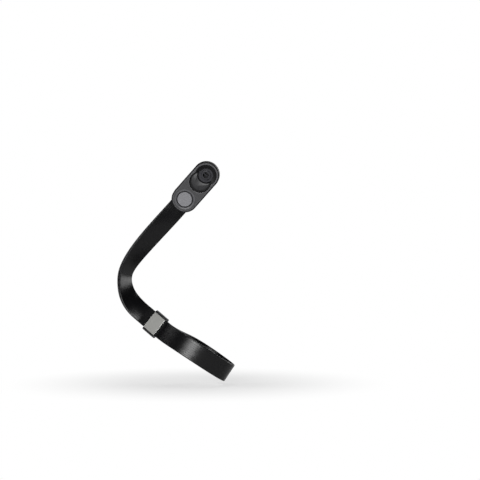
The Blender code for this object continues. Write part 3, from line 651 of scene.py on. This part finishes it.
def front_finish(bm):
    """0 for the grey face, 1 for painted highlight on rims, 2 for black sides and painted shade.
    """
    face_plate = []
    for face in bm.faces:
        middle = face.calc_center_median()
        slope = face.normal.dot(CONNECTOR_FRONT)
        height = middle.dot(CONNECTOR_FRONT) / MM
        from_rivet = (middle - RIVET_PLACE - CONNECTOR_FRONT * height * MM).length / MM
        # black elsewhere: the sides, and painted shade on the slopes inside the keyhole and the
        # recess
        face.material_index = 2
        if slope > FACE_SLOPE and height > FACE_HEIGHT:
            face.material_index = 0
            face_plate.append(face)
        # the bevel round the rivet's recess gets the painted highlight
        elif BEVEL_SLOPE < slope < FACE_SLOPE and from_rivet < RECESS_BEVEL_RADIUS:
            face.material_index = 1
    # a band inset from the face's edge gets the painted highlight
    rim = bmesh.ops.inset_region(bm, faces=face_plate, thickness=HIGHLIGHT_RIM_WIDTH * MM,
                                 use_boundary=True, use_even_offset=True)
    for face in rim["faces"]:
        face.material_index = 1
    # the outline's band is drawn inwards, so that more black shows as painted shade
    for vert in {vert for face in rim["faces"] for vert in face.verts}:
        along = vert.co.dot(CONNECTOR_ALONG)
        axis_point = CONNECTOR_ALONG * min(max(along, 0), RIVET_DISTANCE * MM)
        outward = vert.co - axis_point
        outward -= CONNECTOR_FRONT * outward.dot(CONNECTOR_FRONT)
        if outward.length > OUTER_RIM_RADIUS * MM:
            vert.co -= outward.normalized() * OUTLINE_SHADE_WIDTH * MM
    inner = {edge for face in face_plate for edge in face.edges}
    inner &= {edge for face in rim["faces"] for edge in face.edges}
    bmesh.ops.delete(bm, geom=face_plate, context="FACES_KEEP_BOUNDARY")
    filled = bmesh.ops.triangle_fill(bm, edges=list(inner), use_beauty=True,
                                     normal=CONNECTOR_FRONT)
    for item in filled["geom"]:
        if isinstance(item, bmesh.types.BMFace):
            item.material_index = 0


grey_nylon = moulded_nylon("moulded_nylon_grey", "3e3e40", "464648")
# lighter nylon for the rims: a painted highlight
painted_highlight_rim = moulded_nylon("nylon_rim_painted_highlight", "5e5e61", "6b6b6e", 0.3, (0.28, 0.4), 0.006)
refined("front_cover", "cover_front", [grey_nylon, painted_highlight_rim, black_nylon], "root",
        0.07, front_finish)


# Rivet: a turned steel post through both covers and both strap layers, with a flat rear head.
# A zinc cap with a matt grey powder coat is pressed on its front end.
RING_PITCH = 0.14           # about 0.05 on real turned steel, which would not show


def turned_metal(name, dark, light, rough):
    """Turned metal: fine rings round the rivet's axis, where they are seen end on."""
    material, shader = new_material(name, Metallic=1.0)
    tree = material.node_tree
    place = add(tree, "ShaderNodeTexCoord").outputs["Object"]
    centred = add(tree, "ShaderNodeVectorMath", MINUS, i0=place, i1=RIVET_PLACE)
    outward = add(tree, "ShaderNodeVectorMath", {"operation": "CROSS_PRODUCT"}, i0=centred,
                  i1=CONNECTOR_FRONT)
    radius = add(tree, "ShaderNodeVectorMath", {"operation": "LENGTH"}, i0=outward)
    turns = add(tree, "ShaderNodeMath", TIMES, i0=radius.outputs["Value"],
                i1=2 * math.pi / (RING_PITCH * MM))
    rings = add(tree, "ShaderNodeMath", {"operation": "SINE"}, i0=turns)
    smear = object_noise(tree, 2.5, 3.0)
    coloured(tree, shader, smear, (0.3, dark), (0.7, light))
    roughened(tree, shader, smear, *rough)
    bumped(tree, shader, rings, 0.006, 0.5)
    return material


def powder_coat():
    """Matt powder coat: a soft orange-peel surface and a fine speckle."""
    material, shader = new_material("powder_coat_grey", IOR=1.5, Specular_IOR_Level=0.4)
    tree = material.node_tree
    peel = object_noise(tree, 0.5)
    speck = object_noise(tree, 0.16, 1.0)
    coloured(tree, shader, speck, (0.3, "838387"), (0.7, "8d8d91"))
    roughened(tree, shader, peel, 0.38, 0.54)
    bumped(tree, shader, peel, 0.01, 0.5)
    return material


refined("rivet_post", "rivet", [turned_metal("turned_steel", "87878a", "929295", (0.26, 0.38))],
        "root", 0.08)
refined("rivet_cap", "rivet_button", [powder_coat()], "root", 0.1)


# Cover screws: four small blackened steel screws with hexagon sockets, in counterbores in the
# back. They draw the two covers together round the strap.
SCREW_RADIUS = 0.8
SCREW_LENGTH = 5.65
SCREW_HEAD_RADIUS = 1.5
SCREW_HEAD_HEIGHT = 1.0
SCREW_CHAMFER = 0.18
SOCKET_RADIUS = 0.78
SOCKET_DEPTH = 0.55
SHANK_START = 0.8           # of the head's height, below its top
TOOL_LENGTH = 2.0
BACK_HEIGHT = -4.5          # of the covers' back, and of the heads' tops, in the connector


def screw_tree():
    """One socket screw on each point, its head's top at Z = 0 and its shank down -Z."""
    tree, given = geometry_tree("cover_screws", {
        "Radius": "length", "Length": "length", "Head Radius": "length",
        "Head Height": "length", "Chamfer": "length", "Socket Radius": "length",
        "Socket Depth": "length", "Turn": "turn", "Material": "material"})

    def raised(solid, height):
        up = add(tree, "ShaderNodeCombineXYZ", Z=height)
        return add(tree, "GeometryNodeTransform", Geometry=solid, Translation=up).outputs[0]

    head = add(tree, "GeometryNodeMeshCylinder", Vertices=32, Side_Segments=2,
               Radius=given["Head Radius"], Depth=given["Head Height"])
    half_height = add(tree, "ShaderNodeMath", TIMES, i0=given["Head Height"], i1=0.5)
    quarter = add(tree, "ShaderNodeMath", TIMES, i0=given["Head Height"], i1=0.25)
    place = add(tree, "GeometryNodeInputPosition")
    level = add(tree, "ShaderNodeSeparateXYZ", i0=place).outputs["Z"]
    on_top = add(tree, "ShaderNodeMath", {"operation": "GREATER_THAN"}, i0=level, i1=quarter)
    rim = add(tree, "ShaderNodeMath", SHARE, i0=given["Chamfer"], i1=given["Head Radius"])
    cut = add(tree, "ShaderNodeMath", TIMES, i0=on_top, i1=rim)
    from_middle = add(tree, "ShaderNodeMath", {"operation": "ABSOLUTE"}, i0=level)
    halfway = add(tree, "ShaderNodeMath", {"operation": "LESS_THAN"}, i0=from_middle,
                  i1=quarter)
    to_chamfer = add(tree, "ShaderNodeMath", MINUS, i0=half_height, i1=given["Chamfer"])
    lift = add(tree, "ShaderNodeMath", TIMES, i0=to_chamfer, i1=halfway)
    ring_scale = add(tree, "ShaderNodeCombineXYZ", X=cut, Y=cut)
    inward = add(tree, "ShaderNodeVectorMath", TIMES, i0=place, i1=ring_scale)
    upward = add(tree, "ShaderNodeCombineXYZ", Z=lift)
    offset = add(tree, "ShaderNodeVectorMath", MINUS, i0=upward, i1=inward)
    chamfered = add(tree, "GeometryNodeSetPosition", i0=head, Offset=offset)
    shank = add(tree, "GeometryNodeMeshCylinder", Vertices=20, Radius=given["Radius"],
                Depth=given["Length"])
    tool = add(tree, "GeometryNodeMeshCylinder", Vertices=6, Depth=TOOL_LENGTH * MM,
               Radius=given["Socket Radius"])
    sunk = add(tree, "ShaderNodeMath", MINUS, i0=TOOL_LENGTH / 2 * MM, i1=given["Socket Depth"])
    head_middle = add(tree, "ShaderNodeMath", TIMES, i0=given["Head Height"], i1=-0.5)
    shank_top = add(tree, "ShaderNodeMath", TIMES, i0=given["Head Height"], i1=-SHANK_START)
    half_shank = add(tree, "ShaderNodeMath", TIMES, i0=given["Length"], i1=0.5)
    shank_middle = add(tree, "ShaderNodeMath", MINUS, i0=shank_top, i1=half_shank)
    solid = add(tree, "GeometryNodeMeshBoolean", {"operation": "UNION", "solver": "EXACT"})
    for piece in (raised(chamfered, head_middle), raised(shank, shank_middle)):
        tree.links.new(piece, solid.inputs[1])
    socketed = add(tree, "GeometryNodeMeshBoolean",
                   {"operation": "DIFFERENCE", "solver": "EXACT"}, i0=solid,
                   i1=raised(tool, sunk))
    screws = add(tree, "GeometryNodeInstanceOnPoints", Points=given["Geometry"],
                 Instance=socketed, Rotation=given["Turn"])
    finish_tree(tree, screws, given["Material"])
    return tree


screw_nodes = [f"cover_screw_{number}" for number in range(1, 5)]
screw_points = bpy.data.meshes.new("screw_points")
back_of_screws = []
for node in screw_nodes:
    low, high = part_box(node)
    centre = (low + high) / 2
    on_axis = centre - CONNECTOR_FRONT * centre.dot(CONNECTOR_FRONT)
    back_of_screws.append(on_axis + CONNECTOR_FRONT * BACK_HEIGHT * MM)
screw_points.from_pydata(back_of_screws, [], [])
screws = grown("cover_screws", screw_points, screw_tree(), {
    "Radius": SCREW_RADIUS * MM, "Length": SCREW_LENGTH * MM,
    "Head Radius": SCREW_HEAD_RADIUS * MM, "Head Height": SCREW_HEAD_HEIGHT * MM,
    "Chamfer": SCREW_CHAMFER * MM, "Socket Radius": SOCKET_RADIUS * MM,
    "Socket Depth": SOCKET_DEPTH * MM, "Turn": turned_to(-CONNECTOR_FRONT, CONNECTOR_ALONG),
    "Material": turned_metal("blackened_steel", "2a2a2c", "37373a", (0.3, 0.45))})
screws.data.shade_smooth()
screws.data.set_sharp_from_angle(angle=math.radians(30))
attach(screws, "root")
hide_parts(*screw_nodes)


# Slider sleeve: a length of black anodised aluminium section, cut square and deburred, that
# grips both strap layers. Two rails stand beside the bed for its front plate.


def drawn_lines(tree, along, length=14.0, width=0.25):
    """Noise stretched into lines that run along one direction of the object.

    They are several times as wide as real die lines or brush marks, so that they show."""
    place = add(tree, "ShaderNodeTexCoord").outputs["Object"]
    turned = add(tree, "ShaderNodeVectorRotate",
                 {"rotation_type": "EULER_XYZ", "invert": True},
                 Rotation=turned_to(SLIDER_FRONT, along), Vector=place)
    scaled = add(tree, "ShaderNodeVectorMath", TIMES, i0=turned,
                 i1=(1 / (length * MM), 1 / (width * MM), 1 / (width * MM)))
    return add(tree, "ShaderNodeTexNoise", Scale=1.0, Detail=3.0, Vector=scaled)


def anodised():
    """Black anodised metal, with the faint lines of the drawing die along it."""
    material, shader = new_material("anodised_aluminium_black", IOR=1.6,
                                    Specular_IOR_Level=0.55)
    tree = material.node_tree
    lines = drawn_lines(tree, SLIDER_ALONG)
    coloured(tree, shader, lines, (0.3, "121214"), (0.7, "1d1d20"))
    roughened(tree, shader, lines, 0.24, 0.42)
    bumped(tree, shader, lines, 0.01, 0.4)
    return material


refined("slider_sleeve", "sleeve", [anodised()], "slider", 0.06)


# Slider plate: satin aluminium, brushed across the strap and bonded between the rails. Its
# bevelled rim was cut after the brushing and is smoother, and its lighter colour is a painted
# highlight.


def brushed(name, dark, light, rough):
    """Bare aluminium with fine lines across the strap."""
    material, shader = new_material(name, Metallic=1.0)
    tree = material.node_tree
    lines = drawn_lines(tree, SLIDER_FRONT.cross(SLIDER_ALONG), 9.0, 0.12)
    coloured(tree, shader, lines, (0.3, dark), (0.7, light))
    roughened(tree, shader, lines, *rough)
    bumped(tree, shader, lines, 0.002, 0.4)
    return material


def plate_finish(bm):
    """0 for the brushed metal, 1 for the bevelled rim of its front, with a painted highlight."""
    for face in bm.faces:
        face.material_index = 1 if 0.1 < face.normal.dot(SLIDER_FRONT) < 0.99 else 0


refined("slider_plate", "sleeve_plate",
        [brushed("brushed_aluminium", "949491", "a0a09d", (0.48, 0.6)),
         # the rim: smoother, and lighter as a painted highlight
         brushed("aluminium_rim_painted_highlight", "acacaa", "b8b8b6", (0.32, 0.42))],
        "slider", 0.03, plate_finish)


# Studio: a white sweep under and behind the strap. A large soft lamp stands beside the viewer
# with a weak one on its left, and others light the strap from the sides, above and behind.
CAMERA_DISTANCE = 1.5
CAMERA_AIM = (0.0332, -0.0642)
PICTURE_WIDTH = 0.4723
FLOOR = -0.2075
FLOOR_RADIUS = 0.28
FLOOR_MIDDLE = (-0.01, 0.03)
FLOOR_CORNERS = 96
FILL = 0.05                 # of the world's white, where nothing else lights the strap
MIRRORED_WHITE = 0.15       # of the background's white, in reflections
NEAR_SHADE = 0.45           # how much of the floor's own shade shows right below the strap
MIDDLE = Vector((-0.03, 0.01, -0.1))

camera_data = bpy.data.cameras.new("camera")
camera = bpy.data.objects.new("camera", camera_data)
bpy.context.scene.collection.objects.link(camera)
camera.location = (CAMERA_AIM[0], -CAMERA_DISTANCE, CAMERA_AIM[1])
camera.rotation_euler = (math.radians(90), 0, 0)
camera_data.sensor_width = 36
camera_data.lens = 36 * CAMERA_DISTANCE / PICTURE_WIDTH
camera_data.clip_start = 0.05
bpy.context.scene.camera = camera


def white_sweep(tree, plain, away, start, end, kind, plain_share=None):
    """White where it is seen directly, and grey where a reflection looks behind the object.

    The grey comes in between start and end, and plain_share keeps some of the plain shader."""
    rays = add(tree, "ShaderNodeLightPath").outputs
    mirrored = add(tree, "ShaderNodeMath", {"operation": "MAXIMUM"}, i0=rays["Is Glossy Ray"],
                   i1=rays["Is Transmission Ray"])
    behind = add(tree, "ShaderNodeMapRange", {"interpolation_type": "SMOOTHSTEP"},
                 From_Min=start, From_Max=end, To_Max=MIRRORED_WHITE, Value=away)
    greyed = add(tree, "ShaderNodeMath", TIMES, i0=mirrored, i1=behind)
    seen = add(tree, "ShaderNodeMath", {"operation": "MAXIMUM"}, i0=rays["Is Camera Ray"],
               i1=greyed)
    if plain_share is not None:
        kept_white = add(tree, "ShaderNodeMath", MINUS, i0=1.0, i1=plain_share)
        seen = add(tree, "ShaderNodeMath", TIMES, i0=seen, i1=kept_white)
    white = add(tree, kind, Color=(1, 1, 1, 1), Strength=1.0)
    return add(tree, "ShaderNodeMixShader", i0=seen, i1=plain, i2=white).outputs[0]


world = bpy.data.worlds.new("studio")
world.use_nodes = True
bpy.context.scene.world = world
tree = world.node_tree
fill = tree.nodes["Background"]
fill.inputs["Color"].default_value = (1, 1, 1, 1)
fill.inputs["Strength"].default_value = FILL
look = add(tree, "ShaderNodeTexCoord").outputs["Generated"]
away = add(tree, "ShaderNodeSeparateXYZ", i0=look).outputs["Y"]
sky = white_sweep(tree, fill.outputs[0], away, 0.3, 0.9, "ShaderNodeBackground")
tree.links.new(sky, tree.nodes["World Output"].inputs[0])

floor_material, floor_shader = new_material("white_sweep", Roughness=0.9,
                                            Specular_IOR_Level=0.1)
tree = floor_material.node_tree
floor_shader.inputs["Base Color"].default_value = colour("f4f4f4")
place = add(tree, "ShaderNodeTexCoord").outputs["Object"]
away = add(tree, "ShaderNodeSeparateXYZ", i0=place).outputs["Y"]
from_foot = add(tree, "ShaderNodeVectorMath", {"operation": "DISTANCE"}, i0=place,
                i1=(*FLOOR_MIDDLE, FLOOR)).outputs["Value"]
near = add(tree, "ShaderNodeMapRange", {"interpolation_type": "SMOOTHSTEP"}, From_Min=0.03,
           From_Max=0.2, To_Min=NEAR_SHADE, To_Max=0.0, Value=from_foot)
sweep_shader = white_sweep(tree, floor_shader.outputs[0], away, 0.1, 0.3, "ShaderNodeEmission",
                           near)
tree.links.new(sweep_shader, tree.nodes["Material Output"].inputs[0])
floor_mesh = bpy.data.meshes.new("floor")
floor_mesh.from_pydata([(FLOOR_MIDDLE[0] + FLOOR_RADIUS * math.cos(a),
                         FLOOR_MIDDLE[1] + FLOOR_RADIUS * math.sin(a), FLOOR)
                        for a in np.linspace(0, 2 * math.pi, FLOOR_CORNERS, endpoint=False)],
                       [], [tuple(range(FLOOR_CORNERS))])
floor_mesh.materials.append(floor_material)
floor = bpy.data.objects.new("floor", floor_mesh)
bpy.context.scene.collection.objects.link(floor)


def lamp(name, place, size, power):
    """A round soft lamp that looks at the middle of the strap."""
    data = bpy.data.lights.new(name, "AREA")
    data.shape = "DISK"
    data.size = size
    data.energy = power
    obj = bpy.data.objects.new(name, data)
    bpy.context.scene.collection.objects.link(obj)
    obj.location = place
    obj.rotation_euler = (MIDDLE - Vector(place)).to_track_quat("-Z", "Y").to_euler()


lamp("front", (-0.3, -1.6, 0.12), 0.7, 17)
lamp("front_left", (-0.72, -1.45, 0.18), 0.55, 4)
lamp("left", (-1.2, 0.1, 0.45), 0.6, 4)
lamp("right", (1.0, 0.45, 0.0), 0.7, 4.8)
lamp("top", (0.05, 0.2, 1.2), 0.7, 3.5)
lamp("rear", (0.75, 1.3, 0.1), 1.3, 7)

bpy.context.scene.view_settings.view_transform = "Standard"
